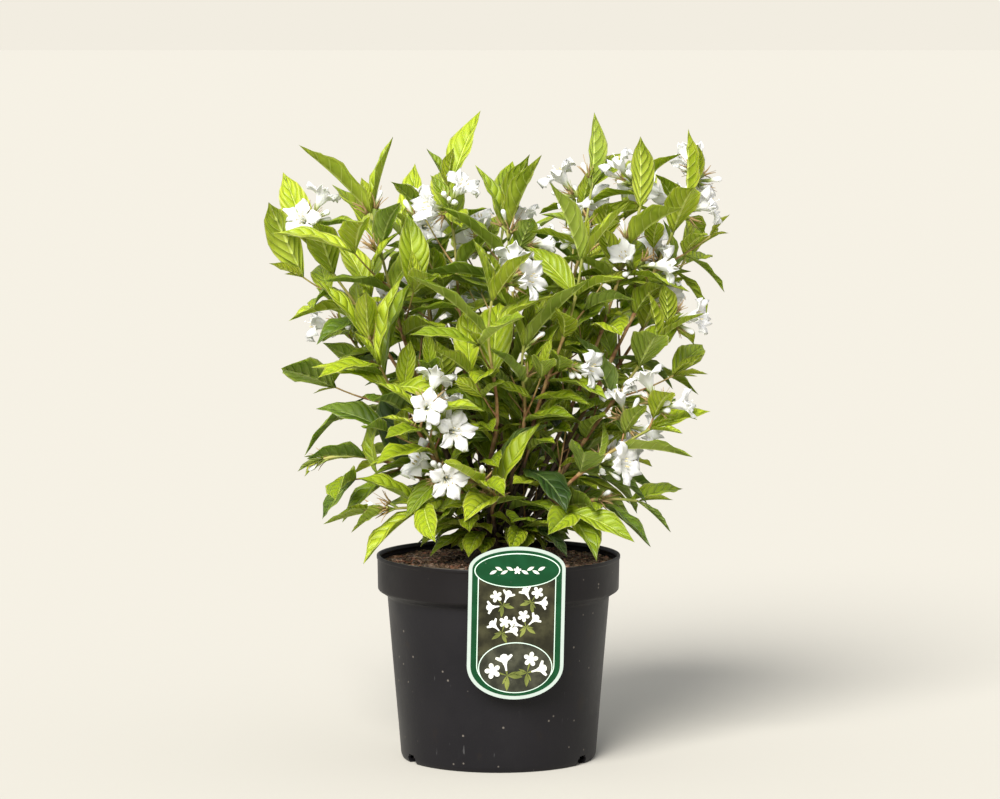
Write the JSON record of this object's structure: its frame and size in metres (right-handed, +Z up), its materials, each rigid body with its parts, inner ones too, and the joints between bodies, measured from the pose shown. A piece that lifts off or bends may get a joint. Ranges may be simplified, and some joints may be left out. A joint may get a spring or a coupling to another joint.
{
  "type": "potted flowering shrub",
  "caption": "Flowering weigela shrub in a round nursery pot, with upright leafy stems, white trumpet blooms and a plant label over the rim.",
  "frame": {"origin": "centre of the pot's flat underside", "axes": "+Z up along the pot's axis; -Y faces the front, where the label hangs; +X to its right"},
  "size_m": [0.3518, 0.3286, 0.5023],
  "materials": {
    "pot_plastic": "dark anthracite moulded plastic, matte with a faint sheen",
    "soil": "dark moist peat with bark chips",
    "label_card": "printed plastic label, white border round a green frame",
    "bark": "thin fissured bark, tan on young stems",
    "foliage": "satin yellow-green leaves, older ones darker"
  },
  "bodies": {
    "root": {"pot": "pot_plastic", "soil": "soil", "label": "label_card", "stem_foot": "bark", "bough_left_tall": "bark", "bough_left_far": "bark", "bough_left_mid": "bark", "bough_left_low": "bark", "bough_front_left": "bark", "bough_front_left_low": "bark", "bough_top_left": "bark", "bough_top_middle": "bark", "bough_top_right": "bark", "bough_right_top": "bark", "bough_right_tall": "bark", "bough_right_high": "bark", "bough_right_mid": "bark", "bough_right_low": "bark", "bough_right_foot": "bark", "bough_front_middle": "bark", "bough_front_right": "bark", "bough_front_high": "bark", "bough_front_low": "bark", "bough_back_left_tall": "bark", "bough_back_middle": "bark", "bough_back_right_tall": "bark", "bough_back_left_mid": "bark", "bough_back_mid": "bark", "bough_back_right_mid": "bark", "bough_back_left_low": "bark", "bough_back_right_low": "bark", "foliage_left_tall": "foliage", "foliage_left_far": "foliage", "foliage_left_mid": "foliage", "foliage_left_low": "foliage", "foliage_front_left": "foliage", "foliage_front_left_low": "foliage", "foliage_top_left": "foliage", "foliage_top_middle": "foliage", "foliage_top_right": "foliage", "foliage_right_top": "foliage", "foliage_right_tall": "foliage", "foliage_right_high": "foliage", "foliage_right_mid": "foliage", "foliage_right_low": "foliage", "foliage_right_foot": "foliage", "foliage_front_middle": "foliage", "foliage_front_right": "foliage", "foliage_front_high": "foliage", "foliage_front_low": "foliage", "foliage_back_left_tall": "foliage", "foliage_back_middle": "foliage", "foliage_back_right_tall": "foliage", "foliage_back_left_mid": "foliage", "foliage_back_mid": "foliage", "foliage_back_right_mid": "foliage", "foliage_back_left_low": "foliage", "foliage_back_right_low": "foliage"}
  },
  "joints": []
}
